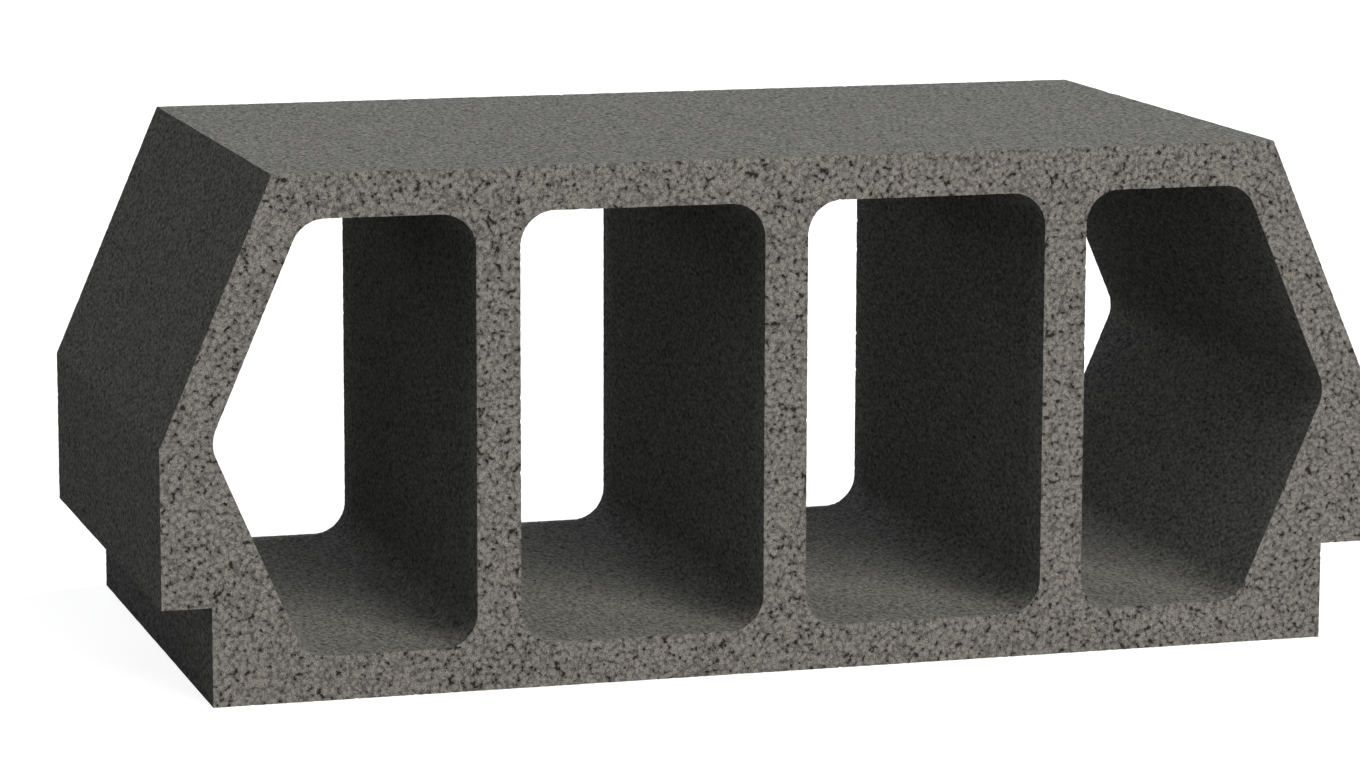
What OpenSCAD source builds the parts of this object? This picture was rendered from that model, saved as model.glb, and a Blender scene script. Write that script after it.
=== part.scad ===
// Hollow concrete filler block for a rib-and-block floor, cast in one piece.
// It drops between two joists and rests on their feet by the ledges along its sides.
// X runs from joist to joist, Y along the joists and Z up.
// The origin is the centre of the base.

/* [Outside] */
// Height from the base to the top
block_h = 210; // [185:5:280]
// Length along the joists
block_len = 240; // [150:10:400]
// Width of the base, which fits between the joist feet
base_w = 470; // [450:2:560]
// Width of the flat top
top_w = 419; // [400:1:440]
// Height of the ledges above the base, which is the thickness of a joist foot
ledge_h = 40; // [25:1:60]
// Width of each ledge, which is its bearing on the joist foot
ledge_w = 20; // [15:1:35]
// Height of the upright band above each ledge
band_h = 64; // [40:1:90]

/* [Walls] */
// Thickness of the top slab
roof_t = 18; // [14:1:26]
// Thickness of the bottom slab
floor_t = 18; // [14:1:26]
// Thickness of the webs between the cells
web_t = 18; // [14:1:24]
// Thickness of the sloping flanks, measured square to the slope
flank_t = 18; // [14:1:26]

/* [Cells] */
// Width of each of the two inner cells
cell_w = 101; // [85:1:112]
// Radius of the corners of the cells
cell_r = 14; // [6:1:18]

/* [Hidden] */
$fn = 96;

// How far the cell cutters run past both ends of the block
cut_past = 1;
// How far a corner's arc stands proud of the flat faces beside it, so that they cross cleanly
arc_proud = 0.005;

// The knee, where an upright band turns into a sloping flank
knee_x = base_w / 2 + ledge_w;
knee_h = ledge_h + band_h;
top_x = top_w / 2;

// How far a flank runs outwards for each millimetre that it drops
flank_run = (knee_x - top_x) / (block_h - knee_h);

// The cells lie between the slabs, and the end cells are widest halfway up
cell_top = block_h - roof_t;
cell_mid = (floor_t + cell_top) / 2;
inner_cell_x = web_t / 2;
end_cell_x = inner_cell_x + cell_w + web_t;

// Outer and inner face of a flank at height z
function flank_x(z) = top_x + (block_h - z) * flank_run;
function lining_x(z) = flank_x(z) - flank_t * sqrt(1 + flank_run ^ 2);

function unit(v) = v / norm(v);

// A rounded corner at p: the two points where its arc starts and ends, and its centre
function corner(before, p, after, r) =
    let (
        a = unit(before - p),
        b = unit(after - p),
        half_angle = acos(a * b) / 2,
        reach = r / tan(half_angle)
    )
    [p + reach * a, p + reach * b, p + r / sin(half_angle) * unit(a + b)];

// A convex outline with its corners rounded to radius r
module rounded(points, r) {
    n = len(points);
    corners = [
        for (i = [0 : n - 1])
            corner(points[(i + n - 1) % n], points[i], points[(i + 1) % n], r)
    ];
    polygon([for (c = corners) each [c[0], c[1]]]);
    for (c = corners) {
        translate(c[2]) circle(r + arc_proud);
    }
}

// The block's section without its cells: the right side's corners, then their mirror images
module outline() {
    right = [
        [base_w / 2, 0],
        [base_w / 2, ledge_h],
        [knee_x, ledge_h],
        [knee_x, knee_h],
        [top_x, block_h],
    ];
    left = [for (i = [len(right) - 1 : -1 : 0]) [-right[i].x, right[i].y]];
    polygon(concat(right, left));
}

// A rectangular cell beside the middle web
module inner_cell() {
    far_x = inner_cell_x + cell_w;
    rounded(
        [[inner_cell_x, floor_t], [far_x, floor_t], [far_x, cell_top], [inner_cell_x, cell_top]],
        cell_r
    );
}

// An end cell: its upper face follows the flank, and its lower face mirrors that below the middle.
// Its tip also leaves a flank's thickness of wall to the upright band.
module end_cell() {
    shoulder_x = lining_x(cell_top);
    tip_x = min(lining_x(cell_mid), knee_x - flank_t);
    rounded(
        [
            [end_cell_x, floor_t],
            [shoulder_x, floor_t],
            [tip_x, cell_mid],
            [shoulder_x, cell_top],
            [end_cell_x, cell_top],
        ],
        cell_r
    );
}

// Stands a section up and runs it along the joists, centred on the origin
module along_joists(length) {
    rotate([90, 0, 0]) linear_extrude(length, center = true) children();
}

// What is drawn on the right side, and its mirror image on the left
module both_sides() {
    children();
    mirror([1, 0, 0]) children();
}

module filler_block() {
    color("dimgray") difference() {
        along_joists(block_len) outline();
        along_joists(block_len + 2 * cut_past) both_sides() {
            inner_cell();
            end_cell();
        }
    }
}

filler_block();
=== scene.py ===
"""The looks of a hollow concrete floor filler block, made round its CAD frame.

The file is laid out as an add-on and run as a script. One operator casts the block's skin, with
its pores, grain and worn arrises, and the other sets the stage with its floor, lamps and camera.
"""

import math
from collections import defaultdict

import bpy
import numpy as np
from bpy.props import FloatProperty, FloatVectorProperty, IntProperty, PointerProperty
from mathutils import Matrix, Vector
from mathutils.geometry import delaunay_2d_cdt


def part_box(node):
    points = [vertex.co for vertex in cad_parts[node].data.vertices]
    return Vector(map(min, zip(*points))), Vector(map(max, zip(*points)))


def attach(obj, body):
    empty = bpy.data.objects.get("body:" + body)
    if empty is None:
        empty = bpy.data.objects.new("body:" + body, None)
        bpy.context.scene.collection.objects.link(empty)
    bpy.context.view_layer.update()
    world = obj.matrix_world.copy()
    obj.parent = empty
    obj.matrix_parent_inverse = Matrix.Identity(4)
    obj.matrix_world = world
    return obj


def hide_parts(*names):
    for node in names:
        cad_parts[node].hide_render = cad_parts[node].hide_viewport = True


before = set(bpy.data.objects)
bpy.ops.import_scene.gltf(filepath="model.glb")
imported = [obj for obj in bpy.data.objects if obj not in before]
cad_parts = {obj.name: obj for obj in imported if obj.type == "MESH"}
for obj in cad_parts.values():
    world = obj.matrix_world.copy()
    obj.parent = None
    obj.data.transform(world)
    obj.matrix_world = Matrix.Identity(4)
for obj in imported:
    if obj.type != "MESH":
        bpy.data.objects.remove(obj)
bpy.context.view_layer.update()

bl_info = {
    "name": "Concrete floor filler block",
    "version": (1, 0, 0),
    "blender": (4, 5, 0),
    "location": "3D Viewport > Sidebar > Filler Block",
    "description": "Casts a hollow concrete filler block round its CAD frame and lights it",
    "category": "Add Mesh",
}

NODE = "filler_block"
BODY = "root"
# The photograph's frame, which the lens is given for
PHOTO_WIDTH = 1360
MM = 0.001

# Ways to triangulate a plan: all of it, or what its outer edges enclose
ALL_TRIANGLES = 0
ENCLOSED_TRIANGLES = 1
# Points of the CAD mesh this near an end, in millimetres, are on it
SNAP = 0.002
# Decimals of a millimetre that outlines are read to, and that the skin is welded to
OUTLINE_DECIMALS = 3
WELD_DECIMALS = 4
# Spots of a plan this near each other, in millimetres, would be taken for one
SAME_SPOT = 1e-6
# The way into the concrete along Y, at the front end and at the back end
INTO = (1, -1)
# Name of the UV map that the skin is laid out flat in. The exporter bakes through a UV
# map of this name
SKIN_MAP = "OFBake"
# Space between the parts of that map, in millimetres
MAP_MARGIN = 6.0
# Vertex attribute that rises towards the bottom of a pore and sets how much painted shade it gets, and
# its value at a pore's rim
PORE = "pore"
RIM_PORE = 0.15

# How near the plain spots of the skin lie to each other, on an end and on a wall, in millimetres
END_STEP = 3.0
WALL_STEP = 9.0
# How far they stray from their lattice, in steps
LATTICE_STRAY = 0.3
# Steps along an arris, and along the lines where a wall turns, in millimetres
ARRIS_STEP = 1.2
LINE_STEP = 8.0
# How far behind an arris a row of plain spots ends its wear, in millimetres
BEHIND_ARRIS = 2.2
# How far the spots of an arris, plain spots and pores keep from each other, in millimetres
ARRIS_REACH = 0.8
PLAIN_REACH = 0.5
PORE_MARGIN = 0.25
# How much longer than its radius a pore can be
PORE_STRETCH = 1.5
# Over one, there are more small pores than large ones
SMALL_PORES = 1.6
# Corners of a small pore's rim and of a large one's, and the radius in millimetres that parts them
SMALL_RIM = 6
LARGE_RIM = 8
LARGE_RADIUS = 0.7
# How far those corners stray round the rim, in steps, and how near they come to the middle, in radii
RIM_STRAY = 0.3
RIM_LEAST = 0.6
# How far the bottom of a pore lies off its middle and how deep, in radii, and its pore attribute
BOTTOM_STRAY = 0.25
BOTTOM_DEPTH = (0.8, 1.5)
BOTTOM_PORE = (0.5, 1.0)
# The deepest wear of an arris, apart from its chips, against its wear on the whole
DEEPEST_WEAR = 2
# Share of an arris's spots that are chipped, and the shallowest chip as a share of the deepest
CHIPPED = 0.02
LEAST_CHIP = 0.4
# A turn as sharp as this is an arris
ARRIS_TURN = math.radians(20)

# The colour inputs of Blender's Mix node and its colour result, which it has by number only
COLOUR_A = 6
COLOUR_B = 7
COLOUR_RESULT = 2
# How the concrete's pattern is turned against the block
PATTERN_TURN = (0.6, 0.35, 0.8)
# Octaves of the noises that shape the grains, and of those that colour them
SHAPE_DETAIL = 1.0
COLOUR_DETAIL = 2.0
# The values between which most of a noise lies, and most of the clouds' noise
NOISE_SPREAD = (0.2, 0.8)
CLOUD_SPREAD = (0.3, 0.7)
# How squarely a face looks along the cells where the walls' finish turns into the ends'
END_FACING = (0.5, 0.9)
# How far the grains are stirred, in grains, and how far they lie out of their rows before that
STIR = 0.4
SCATTER = 0.81
# Width of the noise that makes the grains uneven, in grains, and its weight when it is added to
# the distance from a grain's middle
UNEVEN_WIDTH = 0.62
UNEVEN_WEIGHT = 1.4
# That sum where a grain's pale core starts to fade, and where only paste is left
CORE_FADE = (0.85, 1.6)
# Width of the noise that opens pinholes in patches and how far off it is read, in grains, and its
# weight when it is added to that sum
PATCH_WIDTH = 1.6
PATCH_OFFSET = 20
PATCH_WEIGHT = 0.5
# The new sum where a pinhole starts, and where it is open
PINHOLE_START = (1.77, 1.97)
# How much of the painted pore shade an open pinhole shows
PINHOLE_SHADE = 0.8
# The pore attribute where the shade painted in a modelled pore starts, and where it is full
PORE_START = (0.1, 0.45)
# How far the colour strays from its mean by the film's mottle and by the clouds
MOTTLED = 1.0
CLOUDED = 0.03
# How far it strays by the sand's flecks on the walls, under their film, and on the ends
FLECKED = (0.5, 0.9)
# Height of the sand and of the grains, and depth of the pinholes, in millimetres
SAND_HEIGHT = 0.05
GRAIN_HEIGHT = 0.06
PINHOLE_DEPTH = 0.8
# Roughness of the smoothest and of the roughest grains
ROUGHNESS = (0.86, 0.97)

# In metres: the floor, how far off the lamps are, and the width and height of the key and the others
FLOOR_SIDE = 40.0
LAMP_DISTANCE = 10.0
KEY_SIZE = (5.3, 3.3)
LAMP_SIZE = (3.8, 3.3)


def linear(code):
    """An sRGB hex colour as linear red, green and blue."""
    channels = [int(code[i : i + 2], 16) / 255 for i in (0, 2, 4)]
    return tuple(c / 12.92 if c <= 0.04045 else ((c + 0.055) / 1.055) ** 2.4 for c in channels)


class FillerBlockSkin(bpy.types.PropertyGroup):
    """The relief of the cast skin."""

    end_pore_gap: FloatProperty(
        name="End pore gap",
        description="Mean distance between the pores of the two open ends, which the press leaves open",
        default=9.5 * MM,
        unit="LENGTH",
    )
    outside_pore_gap: FloatProperty(
        name="Outside pore gap",
        description="Mean distance between the pores of the top, base and flanks",
        default=18 * MM,
        unit="LENGTH",
    )
    cell_pore_gap: FloatProperty(
        name="Cell pore gap",
        description="Mean distance between the pores of the cell walls",
        default=22 * MM,
        unit="LENGTH",
    )
    least_pore: FloatProperty(
        name="Least pore",
        description="Radius of the smallest pores that are modelled",
        default=0.5 * MM,
        unit="LENGTH",
    )
    largest_pore: FloatProperty(
        name="Largest pore",
        description="Radius of the largest pores",
        default=1.4 * MM,
        unit="LENGTH",
    )
    relief: FloatProperty(
        name="Relief",
        description="How far the plain skin sinks at most between its grains",
        default=0.15 * MM,
        unit="LENGTH",
    )
    arris_wear: FloatProperty(
        name="Arris wear",
        description="How far the arrises are worn back on the whole",
        default=0.06 * MM,
        unit="LENGTH",
    )
    chip: FloatProperty(
        name="Chip",
        description="Depth of the deepest chips in the arrises",
        default=0.35 * MM,
        unit="LENGTH",
    )
    seed: IntProperty(
        name="Seed",
        description="Sets where the pores and chips lie",
        default=7,
    )


class FillerBlockFinish(bpy.types.PropertyGroup):
    """The concrete's colours and the sizes of its grain."""

    light_grain: FloatVectorProperty(
        name="Light grain",
        description="The palest grains of the aggregate",
        default=linear("8A8882"),
        subtype="COLOR",
    )
    dark_grain: FloatVectorProperty(
        name="Dark grain",
        description="The darkest grains of the aggregate",
        default=linear("82807B"),
        subtype="COLOR",
    )
    paste: FloatVectorProperty(
        name="Paste",
        description="Cement paste between the grains",
        default=linear("5C5A57"),
        subtype="COLOR",
    )
    # Painted shade: the dark colour put inside the pores and pinholes, where a deep hole would be in
    # shadow
    painted_pore_shade: FloatVectorProperty(
        name="Hollow",
        description="The inside of the pores",
        default=linear("201F1D"),
        subtype="COLOR",
    )
    film: FloatVectorProperty(
        name="Film",
        description="The film of paste that the mould draws over the walls",
        default=linear("71716D"),
        subtype="COLOR",
    )
    smear: FloatProperty(
        name="Smear",
        description="How much of the grain and of the pores that film hides",
        default=0.72,
        subtype="FACTOR",
    )
    grain: FloatProperty(
        name="Grain",
        description="Distance between the grains of the aggregate",
        default=2.4 * MM,
        unit="LENGTH",
    )
    sand: FloatProperty(
        name="Sand",
        description="Distance between the grains of the sand in the paste",
        default=0.4 * MM,
        unit="LENGTH",
    )
    mottle: FloatProperty(
        name="Mottle",
        description="Width of the spots in the film on the walls",
        default=1.3 * MM,
        unit="LENGTH",
    )
    drawn: FloatProperty(
        name="Drawn",
        description="How much longer the grain is along the cells, the way the mould is stripped",
        default=2.0,
    )
    cloud: FloatProperty(
        name="Cloud",
        description="Width of the faint clouds that uneven packing leaves",
        default=30 * MM,
        unit="LENGTH",
    )


class FillerBlockStage(bpy.types.PropertyGroup):
    """The floor, lamps and camera."""

    key_level: FloatProperty(
        name="Key level",
        description="How bright the large lamp at the front right makes a white sheet that faces it",
        default=0.9,
    )
    high_level: FloatProperty(
        name="High level",
        description="The same for the high lamp at the front",
        default=0.17,
    )
    right_level: FloatProperty(
        name="Right level",
        description="The same for the lamp on the right",
        default=0.6,
    )
    back_level: FloatProperty(
        name="Back level",
        description="The same for the low light from the white backdrop",
        default=1.1,
    )
    left_level: FloatProperty(
        name="Left level",
        description="The same for the weak lamp on the left",
        default=0.092,
    )
    key_colour: FloatVectorProperty(
        name="Key colour",
        description="Warm white of the key lamp",
        default=linear("FFFCF7"),
        subtype="COLOR",
    )
    fill_colour: FloatVectorProperty(
        name="Fill colour",
        description="Cool white of the other lamps",
        default=linear("F4F8FF"),
        subtype="COLOR",
    )
    floor_colour: FloatVectorProperty(
        name="Floor colour",
        description="The pale floor as the camera sees it under the lamps",
        default=linear("A0A0A0"),
        subtype="COLOR",
    )
    floor_bounce: FloatVectorProperty(
        name="Floor bounce",
        description="The floor as the block sees it, which sets how much light comes up from below",
        default=linear("8C8C8C"),
        subtype="COLOR",
    )
    floor_glow: FloatProperty(
        name="Floor glow",
        description="White that the camera sees on the floor before the lamps add theirs",
        default=0.9,
    )
    eye: FloatVectorProperty(
        name="Eye",
        description="Where the camera stands",
        default=(-0.5996, -1.989, 0.454),
        subtype="TRANSLATION",
        unit="LENGTH",
    )
    turn: FloatProperty(
        name="Turn",
        description="How far the camera turns to the right from looking along the cells",
        default=math.radians(16.544),
        subtype="ANGLE",
    )
    dip: FloatProperty(
        name="Dip",
        description="How far the camera looks down",
        default=math.radians(9.696),
        subtype="ANGLE",
    )
    roll: FloatProperty(
        name="Roll",
        description="How far the camera leans to the left",
        default=math.radians(0.167),
        subtype="ANGLE",
    )
    focal_length: FloatProperty(
        name="Focal length",
        description="The lens's focal length in pixels of the photograph",
        default=4957.1,
    )


class Outline:
    """A closed outline of the block's end in millimetres, walked with the concrete on its left."""

    def __init__(self, corners):
        self.corners = np.array(corners)
        sides = np.roll(self.corners, -1, axis=0) - self.corners
        self.lengths = np.hypot(sides[:, 0], sides[:, 1])
        self.starts = np.concatenate(([0.0], np.cumsum(self.lengths)))
        self.run = self.starts[-1]
        self.along = sides / self.lengths[:, None]
        self.inward = np.stack((-self.along[:, 1], self.along[:, 0]), axis=1)
        before = np.roll(self.along, 1, axis=0)
        cross = before[:, 0] * self.along[:, 1] - before[:, 1] * self.along[:, 0]
        self.turns = np.arctan2(cross, (before * self.along).sum(axis=1))

    def at(self, run):
        """The point this far along the outline, and the way into the concrete there."""
        i = min(int(np.searchsorted(self.starts, run, side="right")) - 1, len(self.lengths) - 1)
        return self.corners[i] + (run - self.starts[i]) * self.along[i], self.inward[i]

    def corner_inward(self, i):
        """The way into the concrete at a corner, halfway between its two sides."""
        middle = self.inward[i - 1] + self.inward[i]
        return middle / np.hypot(*middle)

    def stations(self, step):
        """Runs at every corner, and at even steps of about this length between them."""
        runs = []
        for start, length in zip(self.starts, self.lengths):
            parts = max(1, round(length / step))
            runs += [start + length * k / parts for k in range(parts)]
        return runs

    def from_corner(self, runs):
        """How far runs are from the nearest corner."""
        i = np.clip(np.searchsorted(self.starts, runs), 1, len(self.lengths))
        return np.minimum(runs - self.starts[i - 1], self.starts[i] - runs)


def end_outlines():
    """The outlines of the block's front end, read from the CAD solid: the outside, then the cells."""
    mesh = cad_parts[NODE].data
    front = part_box(NODE)[0].y / MM
    spots = [tuple(round(c / MM, OUTLINE_DECIMALS) for c in vertex.co) for vertex in mesh.vertices]
    sides = set()
    for face in mesh.polygons:
        ring = [spots[i] for i in face.vertices]
        if all(abs(y - front) < SNAP for _, y, _ in ring):
            sides.update(zip(ring, ring[1:] + ring[:1]))
    onward = {(a[0], a[2]): (b[0], b[2]) for a, b in sides if (b, a) not in sides}
    outlines = []
    while onward:
        spot = min(onward)
        corners = []
        while spot in onward:
            corners.append(spot)
            spot = onward.pop(spot)
        outlines.append(Outline(corners))
    return outlines


def in_concrete(spots, outlines):
    """Which spots of an end lie in the concrete, by counting the sides to their right."""
    crossed = np.zeros(len(spots), int)
    for outline in outlines:
        for (x0, z0), (x1, z1) in zip(outline.corners, np.roll(outline.corners, -1, axis=0)):
            if z0 != z1:
                level = (spots[:, 1] < z0) != (spots[:, 1] < z1)
                meets = x0 + (spots[:, 1] - z0) * (x1 - x0) / (z1 - z0)
                crossed += level & (spots[:, 0] < meets)
    return crossed % 2 == 1


class Sheet:
    """A part of the skin that can be laid flat: spots on a plan, with their places in space.

    All is in millimetres. place turns a spot of the plan and its depth in the concrete into a
    point. allowed tells which of an array of spots, with their reaches, may lie on the sheet.
    lean is the way that its pores are drawn out, if there is one. Pores and plain spots are only
    added clear of what is there.
    """

    # Side of the squares that the spots are sorted into, which is longer than two reaches together
    SQUARE = 5.0

    def __init__(self, place, allowed, lean=None):
        self.place = place
        self.allowed = allowed
        self.lean = lean
        self.plan = []
        self.points = []
        self.pores = []
        self.edges = []
        self.taken = defaultdict(list)

    def add(self, u, v, depth=0.0, pore=0.0, point=None):
        """Adds a spot and returns its number. A point is given where it isn't on the plain skin."""
        self.plan.append((u, v))
        self.points.append(self.place(u, v, depth) if point is None else point)
        self.pores.append(pore)
        return len(self.plan) - 1

    def take(self, u, v, reach):
        """Keeps the plan round a spot for it."""
        self.taken[int(u // self.SQUARE), int(v // self.SQUARE)].append((u, v, reach))

    def clear(self, u, v, reach):
        """True where nothing that is there comes within reach."""
        column, row = int(u // self.SQUARE), int(v // self.SQUARE)
        return all(
            math.hypot(u - x, v - y) >= reach + other
            for i in (column - 1, column, column + 1)
            for j in (row - 1, row, row + 1)
            for x, y, other in self.taken.get((i, j), ())
        )

    def rim(self, spots, points):
        """Adds a row of spots on an arris or a turn, with edges between, and returns their numbers."""
        numbers = [self.add(u, v, point=point) for (u, v), point in zip(spots, points)]
        for u, v in spots:
            self.take(u, v, ARRIS_REACH)
        self.edges += zip(numbers, numbers[1:])
        return numbers

    def pit(self, u, v, radius, rng):
        """Sinks a pore with an uneven rim, longer one way than the other."""
        count = SMALL_RIM if radius < LARGE_RADIUS else LARGE_RIM
        lean = self.lean if self.lean is not None else rng.uniform(0, math.pi)
        stretch = rng.uniform(1.0, PORE_STRETCH)
        for k in range(count):
            angle = math.tau * (k + rng.uniform(-RIM_STRAY, RIM_STRAY)) / count
            swell = radius * rng.uniform(RIM_LEAST, 1.0)
            a, b = swell * stretch * math.cos(angle), swell / stretch * math.sin(angle)
            self.add(
                u + a * math.cos(lean) - b * math.sin(lean),
                v + a * math.sin(lean) + b * math.cos(lean),
                pore=RIM_PORE,
            )
        off = radius * rng.uniform(-BOTTOM_STRAY, BOTTOM_STRAY, 2)
        depth = radius * rng.uniform(*BOTTOM_DEPTH)
        self.add(u + off[0], v + off[1], depth=depth, pore=rng.uniform(*BOTTOM_PORE))

    def scatter_pores(self, low, high, gap, skin, rng):
        """Sinks pores at this mean distance all over the plan, the largest first."""
        count = int((high[0] - low[0]) * (high[1] - low[1]) / gap**2)
        spots = rng.uniform(low, high, (count, 2))
        radii = np.sort(rng.random(count) ** SMALL_PORES)[::-1]
        radii = (skin.least_pore + (skin.largest_pore - skin.least_pore) * radii) / MM
        reaches = PORE_STRETCH * radii + PORE_MARGIN
        fit = self.allowed(spots, reaches)
        found = zip(spots[fit].tolist(), radii[fit].tolist(), reaches[fit].tolist())
        for (u, v), radius, reach in found:
            if self.clear(u, v, reach):
                self.take(u, v, reach)
                self.pit(u, v, radius, rng)

    def scatter_plain(self, low, high, step, skin, rng):
        """Fills the plan between the pores with an uneven lattice of plain spots."""
        rise = step * math.sqrt(3) / 2
        rows, columns = np.mgrid[0 : (high[1] - low[1]) / rise, 0 : (high[0] - low[0]) / step]
        spots = np.stack((low[0] + (columns + rows % 2 / 2) * step, low[1] + rows * rise), axis=-1)
        spots = spots.reshape(-1, 2)
        spots += rng.uniform(-LATTICE_STRAY, LATTICE_STRAY, (rows.size, 2)) * step
        depths = skin.relief / MM * rng.random(rows.size)
        fit = self.allowed(spots, np.full(rows.size, PLAIN_REACH))
        for (u, v), depth in zip(spots[fit].tolist(), depths[fit].tolist()):
            if self.clear(u, v, PLAIN_REACH):
                self.add(u, v, depth=depth)

    def triangles(self, kind):
        """The plan's triangles, by the numbers of their spots."""
        plan = [Vector(spot) for spot in self.plan]
        spots, _, faces, sources, _, _ = delaunay_2d_cdt(plan, self.edges, [], kind, SAME_SPOT)
        if len(spots) != len(plan):
            raise RuntimeError(f"spots of the skin meet: {len(plan)} of them became {len(spots)}")
        return np.array([[sources[i][0] for i in face] for face in faces])


def worn(count, skin, rng):
    """How far each of a row of spots on an arris is worn back, in millimetres."""
    wear = skin.arris_wear / MM * DEEPEST_WEAR * rng.random(count) ** 2
    chips = skin.chip / MM * rng.uniform(LEAST_CHIP, 1.0, count)
    return np.where(rng.random(count) < CHIPPED, chips, wear)


def end_arris(outline, runs, y, into, skin, rng):
    """The points of a worn arris where an outline meets an end."""
    arris = []
    for run, wear in zip(runs, worn(len(runs), skin, rng)):
        spot, inward = outline.at(run)
        arris.append((spot[0] + inward[0] * wear, y + into * wear, spot[1] + inward[1] * wear))
    return arris


def end_sheet(outlines, runs, arrises, y, into, skin, rng):
    """An open end of the block, round the mouths of its cells, and its triangles."""
    sheet = Sheet(
        lambda x, z, depth: (x, y + into * depth, z),
        lambda spots, reaches: in_concrete(spots, outlines),
    )
    rims = []
    for outline, stops, arris in zip(outlines, runs, arrises):
        rims.append(sheet.rim([tuple(outline.at(run)[0]) for run in stops], arris))
        sheet.edges.append((rims[-1][-1], rims[-1][0]))
    low, high = outlines[0].corners.min(axis=0), outlines[0].corners.max(axis=0)
    sheet.scatter_pores(low, high, skin.end_pore_gap / MM, skin, rng)
    sheet.scatter_plain(low, high, END_STEP, skin, rng)
    # A cell bulges all round, so a triangle with all its spots on one cell's rim lies in its mouth
    mouth = np.zeros(len(sheet.plan), int)
    for k, numbers in enumerate(rims):
        mouth[numbers] = k
    faces = sheet.triangles(ENCLOSED_TRIANGLES)
    across = (mouth[faces] == mouth[faces[:, :1]]).all(axis=1) & (mouth[faces[:, 0]] > 0)
    return sheet, faces[~across][:, ::into]


def wall_sheet(outline, runs, arrises, ends, gap, skin, rng):
    """A wall that runs from end to end, outside or in a cell, and its triangles."""
    low, high = (0.0, ends[0]), (outline.run, ends[1])

    def place(run, y, depth):
        spot, inward = outline.at(run)
        return spot[0] + inward[0] * depth, y, spot[1] + inward[1] * depth

    def allowed(spots, reaches):
        within = ((spots - reaches[:, None] > low) & (spots + reaches[:, None] < high)).all(axis=1)
        return within & (outline.from_corner(spots[:, 0]) > reaches)

    sheet = Sheet(place, allowed, lean=math.pi / 2)
    # The outline is closed by its first station and first turn, which come again at its full run
    stops = runs + [outline.run]
    rows = [
        sheet.rim([(run, y) for run in stops], arris + arris[:1])
        for y, arris in zip(ends, arrises)
    ]
    levels = np.linspace(*ends, round((ends[1] - ends[0]) / LINE_STEP) + 1)[1:-1]
    turns = []
    for i, (corner, turn) in enumerate(zip(outline.corners, outline.turns)):
        inward = outline.corner_inward(i)
        wear = worn(len(levels), skin, rng) * (turn > ARRIS_TURN)
        worn_back = corner + wear[:, None] * inward
        turns.append([(x, y, z) for y, (x, z) in zip(levels, worn_back)])
    for start, points in zip(outline.starts, turns + turns[:1]):
        line = sheet.rim([(start, y) for y in levels], points)
        stop = stops.index(start)
        sheet.edges += [(rows[0][stop], line[0]), (line[-1], rows[1][stop])]

    sheet.scatter_pores(low, high, gap, skin, rng)
    for y in (ends[0] + BEHIND_ARRIS, ends[1] - BEHIND_ARRIS):
        spots = np.array([(run, y) for run in runs[::2]])
        for run, _ in spots[allowed(spots, np.full(len(spots), PLAIN_REACH))].tolist():
            if sheet.clear(run, y, PLAIN_REACH):
                sheet.add(run, y)
    sheet.scatter_plain(low, high, WALL_STEP, skin, rng)
    return sheet, sheet.triangles(ALL_TRIANGLES)[:, ::-1]


def cast_sheets(skin):
    """All sheets of the block's skin: its two ends, its outside and the linings of its cells."""
    rng = np.random.default_rng(skin.seed)
    outlines = end_outlines()
    runs = [outline.stations(ARRIS_STEP) for outline in outlines]
    ends = [corner.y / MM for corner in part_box(NODE)]
    arrises = [
        [end_arris(outline, stops, y, into, skin, rng) for outline, stops in zip(outlines, runs)]
        for y, into in zip(ends, INTO)
    ]
    sheets = [
        end_sheet(outlines, runs, rims, y, into, skin, rng)
        for rims, y, into in zip(arrises, ends, INTO)
    ]
    for outline, stops, front, back in zip(outlines, runs, *arrises):
        gap = skin.cell_pore_gap if outline is not outlines[0] else skin.outside_pore_gap
        sheets.append(wall_sheet(outline, stops, (front, back), ends, gap / MM, skin, rng))
    return sheets


def lay_out(plans):
    """Lays plans out in rows on the unit square, as one map of the skin."""
    lows = [plan.min(axis=0) for plan in plans]
    sizes = [plan.max(axis=0) - low + MAP_MARGIN for plan, low in zip(plans, lows)]
    width = max(size[0] for size in sizes)
    moves = {}
    left, bottom, row = 0.0, 0.0, 0.0
    for k in sorted(range(len(plans)), key=lambda k: -sizes[k][0]):
        if left + sizes[k][0] > width:
            left, bottom, row = 0.0, bottom + row, 0.0
        moves[k] = np.array((left, bottom)) + MAP_MARGIN / 2 - lows[k]
        left, row = left + sizes[k][0], max(row, sizes[k][1])
    return [(plan + moves[k]) / (width, bottom + row) for k, plan in enumerate(plans)]


def weld(sheets):
    """One closed mesh of all sheets, joined at the points that they share."""
    starts = np.cumsum([0] + [len(sheet.plan) for sheet, _ in sheets])
    triangles = np.concatenate([faces + start for (_, faces), start in zip(sheets, starts)])
    points = np.concatenate([sheet.points for sheet, _ in sheets])
    pores = np.concatenate([sheet.pores for sheet, _ in sheets])
    flat = np.concatenate(lay_out([np.array(sheet.plan) for sheet, _ in sheets]))
    points = points.round(WELD_DECIMALS)
    places, first, number = np.unique(points, axis=0, return_index=True, return_inverse=True)
    mesh = bpy.data.meshes.new(NODE)
    mesh.from_pydata((places * MM).tolist(), [], number.reshape(-1)[triangles].tolist())
    skin_map = mesh.uv_layers.new(name=SKIN_MAP)
    skin_map.uv.foreach_set("vector", flat[triangles].ravel().astype(np.float32))
    pore = mesh.attributes.new(PORE, "FLOAT", "POINT")
    pore.data.foreach_set("value", pores[first].astype(np.float32))
    mesh.shade_smooth()
    mesh.set_sharp_from_angle(angle=ARRIS_TURN)
    return mesh


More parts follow.
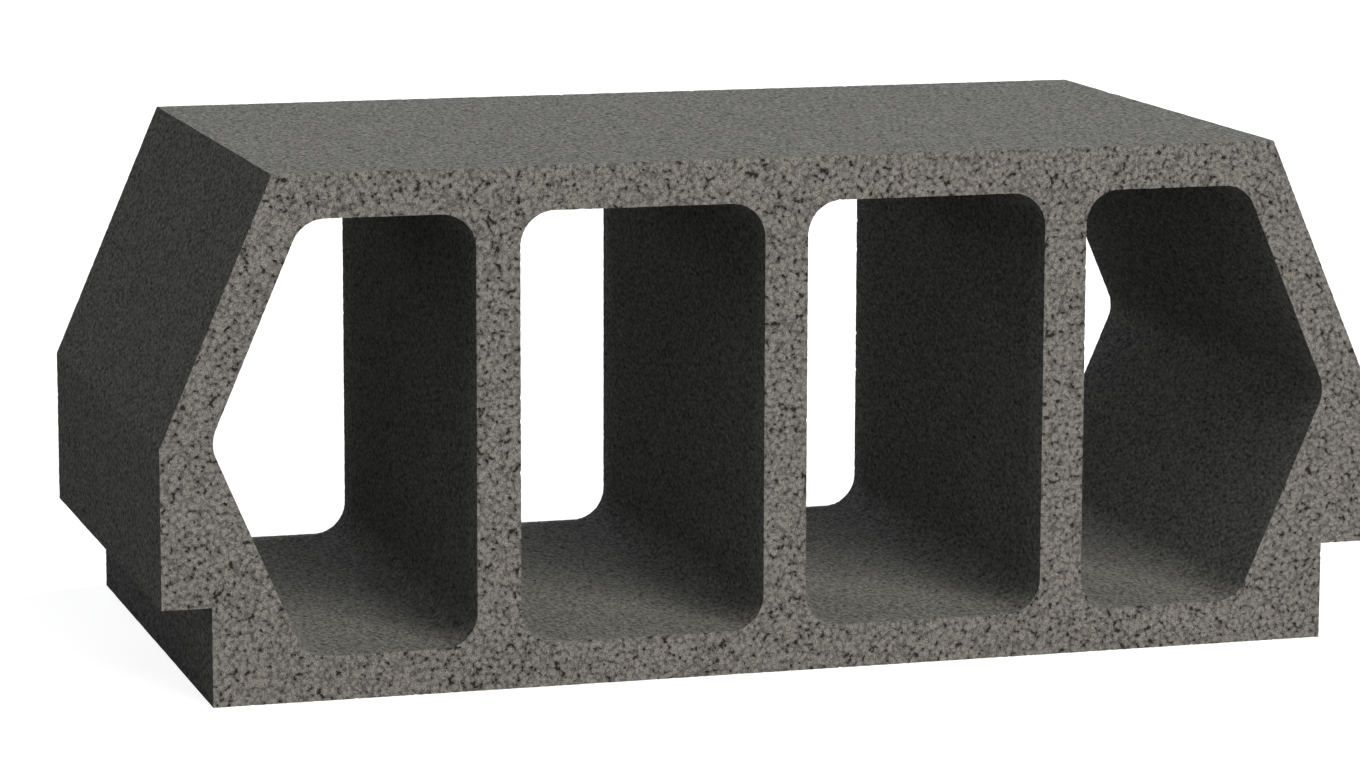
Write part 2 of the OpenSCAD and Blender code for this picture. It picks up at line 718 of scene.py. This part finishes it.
def add(tree, kind, inputs=(), **settings):
    """Adds a node with its settings, and returns its outputs.

    Its inputs are values to set or sockets to link, by name or in order.
    """
    node = tree.nodes.new("ShaderNode" + kind)
    for name, value in settings.items():
        setattr(node, name, value)
    for name, value in inputs.items() if isinstance(inputs, dict) else enumerate(inputs):
        if isinstance(value, bpy.types.NodeSocket):
            tree.links.new(value, node.inputs[name])
        else:
            node.inputs[name].default_value = value
    return node.outputs


def empty_tree(owner):
    """The node tree of a material or a world, with nothing in it."""
    owner.use_nodes = True
    owner.node_tree.nodes.clear()
    return owner.node_tree


def pressed_concrete(finish):
    """Concrete with little paste, pressed in a shaking mould.

    Its open ends show pale grains, mottled with paste and pitted with pinholes that are dark with
    painted shade. The mould draws a thin film of paste over the walls as it is stripped, so these
    look smoother and greyer.
    """
    material = bpy.data.materials.new("vibro_pressed_concrete")
    tree = empty_tree(material)

    # One on the open ends and zero on the walls
    place = add(tree, "TexCoord")
    normal = add(tree, "SeparateXYZ", [place["Normal"]])
    facing = add(tree, "Math", [normal["Y"]], operation="ABSOLUTE")[0]
    end = add(tree, "MapRange", [facing, *END_FACING, 0.0, 1.0], interpolation_type="SMOOTHSTEP")[0]

    # The pattern is drawn out along the cells, and turned so that no face runs along its rows
    turn = {"Vector": place["Object"], "Rotation": PATTERN_TURN, "Scale": (1, 1 / finish.drawn, 1)}
    turned = add(tree, "Mapping", turn)[0]
    swirl = {"Vector": turned, "Scale": 1 / finish.grain, "Detail": SHAPE_DETAIL}
    swirl = add(tree, "TexNoise", swirl)["Color"]
    sway = [STIR * finish.grain] * 3
    stirred = add(tree, "VectorMath", [swirl, sway, turned], operation="MULTIPLY_ADD")[0]

    # Pale cores of the grains
    grain = {"Vector": stirred, "Scale": 1 / finish.grain, "Randomness": SCATTER}
    grain = add(tree, "TexVoronoi", grain)
    uneven = {"Vector": turned, "Scale": 1 / (UNEVEN_WIDTH * finish.grain), "Detail": SHAPE_DETAIL}
    uneven = add(tree, "TexNoise", uneven)[0]
    off_core = [uneven, UNEVEN_WEIGHT, grain["Distance"]]
    off_core = add(tree, "Math", off_core, operation="MULTIPLY_ADD")[0]
    core = add(tree, "MapRange", [off_core, *CORE_FADE, 1.0, 0.0], interpolation_type="SMOOTHSTEP")[0]

    # Pinholes where the grains leave room, and the modelled pores, which both get painted shade; the
    # film hides them in part
    aside = [stirred, [PATCH_OFFSET * finish.grain] * 3]
    aside = add(tree, "VectorMath", aside, operation="ADD")[0]
    patch = {"Vector": aside, "Scale": 1 / (PATCH_WIDTH * finish.grain), "Detail": SHAPE_DETAIL}
    patch = add(tree, "TexNoise", patch)[0]
    room = add(tree, "Math", [patch, PATCH_WEIGHT, off_core], operation="MULTIPLY_ADD")[0]
    pinhole = [room, *PINHOLE_START, 0.0, 1.0]
    pinhole = add(tree, "MapRange", pinhole, interpolation_type="SMOOTHSTEP")[0]
    shaded = add(tree, "Math", [pinhole, PINHOLE_SHADE], operation="MULTIPLY")[0]
    # Painted shade in the modelled pores, darker towards their bottoms
    pore = add(tree, "Attribute", attribute_name=PORE)["Fac"]
    pore = add(tree, "MapRange", [pore, *PORE_START, 0.0, 1.0], interpolation_type="SMOOTHSTEP")[0]
    painted_pore_shade = add(tree, "Math", [shaded, pore], operation="MAXIMUM")[0]
    kept = add(tree, "MapRange", [end, 0.0, 1.0, 1 - finish.smear, 1.0])[0]
    opened = add(tree, "Math", [painted_pore_shade, kept], operation="MULTIPLY")[0]

    # Grains of chance greys in paste on the ends, and mostly the mottled film on the walls
    chance = add(tree, "SeparateColor", [grain["Color"]])
    stone = {0: chance[0], COLOUR_A: (*finish.dark_grain, 1), COLOUR_B: (*finish.light_grain, 1)}
    stone = add(tree, "Mix", stone, data_type="RGBA")[COLOUR_RESULT]
    bedded = {0: core, COLOUR_A: (*finish.paste, 1), COLOUR_B: stone}
    bedded = add(tree, "Mix", bedded, data_type="RGBA")[COLOUR_RESULT]
    mottle = {"Vector": turned, "Scale": 1 / finish.mottle, "Detail": COLOUR_DETAIL}
    mottle = add(tree, "TexNoise", mottle)[0]
    mottle = add(tree, "MapRange", [mottle, *NOISE_SPREAD, 1 - MOTTLED, 1 + MOTTLED])[0]
    film = add(tree, "VectorMath", {0: finish.film, "Scale": mottle}, operation="SCALE")[0]
    smeared = add(tree, "MapRange", [end, 0.0, 1.0, finish.smear, 0.0])[0]
    skinned = {0: smeared, COLOUR_A: bedded, COLOUR_B: film}
    skinned = add(tree, "Mix", skinned, data_type="RGBA")[COLOUR_RESULT]

    # Sand speckles both, and faint clouds pass over them
    sand = {"Vector": turned, "Scale": 1 / finish.sand, "Detail": COLOUR_DETAIL}
    sand = add(tree, "TexNoise", sand)[0]
    fleck = add(tree, "MapRange", [sand, *NOISE_SPREAD, -1.0, 1.0])[0]
    strength = add(tree, "MapRange", [end, 0.0, 1.0, *FLECKED])[0]
    speckle = add(tree, "Math", [fleck, strength, 1.0], operation="MULTIPLY_ADD")[0]
    cloud = {"Vector": place["Object"], "Scale": 1 / finish.cloud, "Detail": COLOUR_DETAIL}
    cloud = add(tree, "TexNoise", cloud)[0]
    cloud = add(tree, "MapRange", [cloud, *CLOUD_SPREAD, 1 - CLOUDED, 1 + CLOUDED])[0]
    tone = add(tree, "Math", [speckle, cloud], operation="MULTIPLY")[0]
    toned = add(tree, "VectorMath", {0: skinned, "Scale": tone}, operation="SCALE")[0]
    # Painted shade: the pinholes and modelled pores take the dark pore colour
    colour = {0: opened, COLOUR_A: toned, COLOUR_B: (*finish.painted_pore_shade, 1)}
    colour = add(tree, "Mix", colour, data_type="RGBA")[COLOUR_RESULT]

    # Height in millimetres: sand and grains stand up, pinholes sink
    sanded = add(tree, "Math", [sand, SAND_HEIGHT], operation="MULTIPLY")[0]
    grained = add(tree, "Math", [core, GRAIN_HEIGHT, sanded], operation="MULTIPLY_ADD")[0]
    sunk = add(tree, "Math", [pinhole, opened], operation="MULTIPLY")[0]
    height = add(tree, "Math", [sunk, -PINHOLE_DEPTH, grained], operation="MULTIPLY_ADD")[0]
    bump = add(tree, "Bump", {"Strength": 1.0, "Distance": MM, "Height": height})[0]
    rough = add(tree, "MapRange", [chance[1], 0.0, 1.0, *ROUGHNESS])[0]
    finished = {"Base Color": colour, "Roughness": rough, "Normal": bump, "Specular IOR Level": 0.0}
    surface = add(tree, "BsdfPrincipled", finished)
    add(tree, "OutputMaterial", {"Surface": surface[0]})
    return material


class FILLER_BLOCK_OT_cast(bpy.types.Operator):
    """Cast the block's skin over its CAD solid"""

    bl_idname = "filler_block.cast"
    bl_label = "Cast the block"

    def execute(self, context):
        mesh = weld(cast_sheets(context.scene.filler_block_skin))
        mesh.materials.append(pressed_concrete(context.scene.filler_block_finish))
        block = bpy.data.objects.new("cast_block", mesh)
        context.scene.collection.objects.link(block)
        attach(block, BODY)
        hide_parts(NODE)
        return {"FINISHED"}


def seen_by_eye(tree):
    """One where a ray shows the surface in the picture, also by a gloss or through glass, else zero."""
    path = add(tree, "LightPath")
    either = add(tree, "Math", [path["Is Camera Ray"], path["Is Glossy Ray"]], operation="MAXIMUM")[0]
    return add(tree, "Math", [either, path["Is Transmission Ray"]], operation="MAXIMUM")[0]


def white_floor(stage):
    """Studio floor that the eye sees as white paper and that sends little light back up."""
    material = bpy.data.materials.new("white_paper_floor")
    tree = empty_tree(material)
    seen = seen_by_eye(tree)
    colour = {0: seen, COLOUR_A: (*stage.floor_bounce, 1), COLOUR_B: (*stage.floor_colour, 1)}
    colour = add(tree, "Mix", colour, data_type="RGBA")[COLOUR_RESULT]
    glow = add(tree, "Math", [seen, stage.floor_glow], operation="MULTIPLY")[0]
    paper = {
        "Base Color": colour,
        "Roughness": 1.0,
        "Specular IOR Level": 0.0,
        "Emission Color": (1, 1, 1, 1),
        "Emission Strength": glow,
    }
    surface = add(tree, "BsdfPrincipled", paper)
    add(tree, "OutputMaterial", {"Surface": surface[0]})
    return material


def sky():
    """White all round for the eye, which gives no light."""
    world = bpy.data.worlds.new("studio")
    tree = empty_tree(world)
    light = add(tree, "Background", {"Color": (1, 1, 1, 1), "Strength": seen_by_eye(tree)})
    add(tree, "OutputWorld", {"Surface": light[0]})
    return world


def softbox(scene, name, azimuth, elevation, size, level, colour):
    """A lamp that faces the block's middle and makes a white sheet there this bright.

    Its azimuth is in degrees to the right of the front, and its size is a width and a height.
    """
    lamp = bpy.data.lights.new(name, "AREA")
    lamp.shape = "RECTANGLE"
    lamp.size, lamp.size_y = size
    lamp.color = colour
    lamp.energy = level * (math.pi * LAMP_DISTANCE) ** 2
    turn, rise = math.radians(azimuth), math.radians(elevation)
    way = Vector((math.sin(turn) * math.cos(rise), -math.cos(turn) * math.cos(rise), math.sin(rise)))
    box = bpy.data.objects.new(name, lamp)
    box.location = sum(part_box(NODE), Vector()) / 2 + way * LAMP_DISTANCE
    box.rotation_euler = (-way).to_track_quat("-Z", "Y").to_euler()
    box.visible_camera = False
    scene.collection.objects.link(box)


def camera(scene, stage):
    """The photograph's camera."""
    lens = bpy.data.cameras.new("camera")
    lens.lens = stage.focal_length / PHOTO_WIDTH * lens.sensor_width
    eye = bpy.data.objects.new("camera", lens)
    turned = Matrix.Rotation(-stage.turn, 3, "Z")
    dipped = Matrix.Rotation(math.pi / 2 - stage.dip, 3, "X")
    rolled = Matrix.Rotation(stage.roll, 3, "Z")
    eye.rotation_euler = (turned @ dipped @ rolled).to_euler()
    eye.location = stage.eye
    scene.collection.objects.link(eye)
    scene.camera = eye


class FILLER_BLOCK_OT_set_stage(bpy.types.Operator):
    """Set up the floor, lamps and camera"""

    bl_idname = "filler_block.set_stage"
    bl_label = "Set the stage"

    def execute(self, context):
        scene, stage = context.scene, context.scene.filler_block_stage
        half = FLOOR_SIDE / 2
        corners = [(-half, -half, 0), (half, -half, 0), (half, half, 0), (-half, half, 0)]
        sheet = bpy.data.meshes.new("floor")
        sheet.from_pydata(corners, [], [(0, 1, 2, 3)])
        sheet.materials.append(white_floor(stage))
        floor = bpy.data.objects.new("floor", sheet)
        scene.collection.objects.link(floor)
        scene.world = sky()
        # Each with its azimuth and elevation in degrees
        softbox(scene, "key_lamp", 21, 25, KEY_SIZE, stage.key_level, stage.key_colour)
        softbox(scene, "high_lamp", 15, 55, LAMP_SIZE, stage.high_level, stage.key_colour)
        softbox(scene, "right_lamp", 95, 40, LAMP_SIZE, stage.right_level, stage.fill_colour)
        softbox(scene, "back_lamp", 180, 10, LAMP_SIZE, stage.back_level, stage.fill_colour)
        softbox(scene, "left_lamp", -90, 12, LAMP_SIZE, stage.left_level, stage.fill_colour)
        camera(scene, stage)
        scene.view_settings.view_transform = "Standard"
        return {"FINISHED"}


class FILLER_BLOCK_PT_sidebar(bpy.types.Panel):
    """Lists the block's operators and what can be changed in them"""

    bl_idname = "FILLER_BLOCK_PT_sidebar"
    bl_label = "Filler Block"
    bl_space_type = "VIEW_3D"
    bl_region_type = "UI"
    bl_category = "Filler Block"

    def draw(self, context):
        scene = context.scene
        for group in (scene.filler_block_skin, scene.filler_block_finish, scene.filler_block_stage):
            box = self.layout.box()
            for name in group.__annotations__:
                box.prop(group, name)
        self.layout.operator(FILLER_BLOCK_OT_cast.bl_idname)
        self.layout.operator(FILLER_BLOCK_OT_set_stage.bl_idname)


CLASSES = (
    FillerBlockSkin,
    FillerBlockFinish,
    FillerBlockStage,
    FILLER_BLOCK_OT_cast,
    FILLER_BLOCK_OT_set_stage,
    FILLER_BLOCK_PT_sidebar,
)


def register():
    """Adds the properties, operators and panel to Blender."""
    for cls in CLASSES:
        bpy.utils.register_class(cls)
    bpy.types.Scene.filler_block_skin = PointerProperty(type=FillerBlockSkin)
    bpy.types.Scene.filler_block_finish = PointerProperty(type=FillerBlockFinish)
    bpy.types.Scene.filler_block_stage = PointerProperty(type=FillerBlockStage)


def unregister():
    """Takes them out again."""
    del bpy.types.Scene.filler_block_stage
    del bpy.types.Scene.filler_block_finish
    del bpy.types.Scene.filler_block_skin
    for cls in reversed(CLASSES):
        bpy.utils.unregister_class(cls)


def main():
    """Casts the block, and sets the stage."""
    register()
    bpy.ops.filler_block.cast()
    bpy.ops.filler_block.set_stage()


if __name__ == "__main__":
    main()
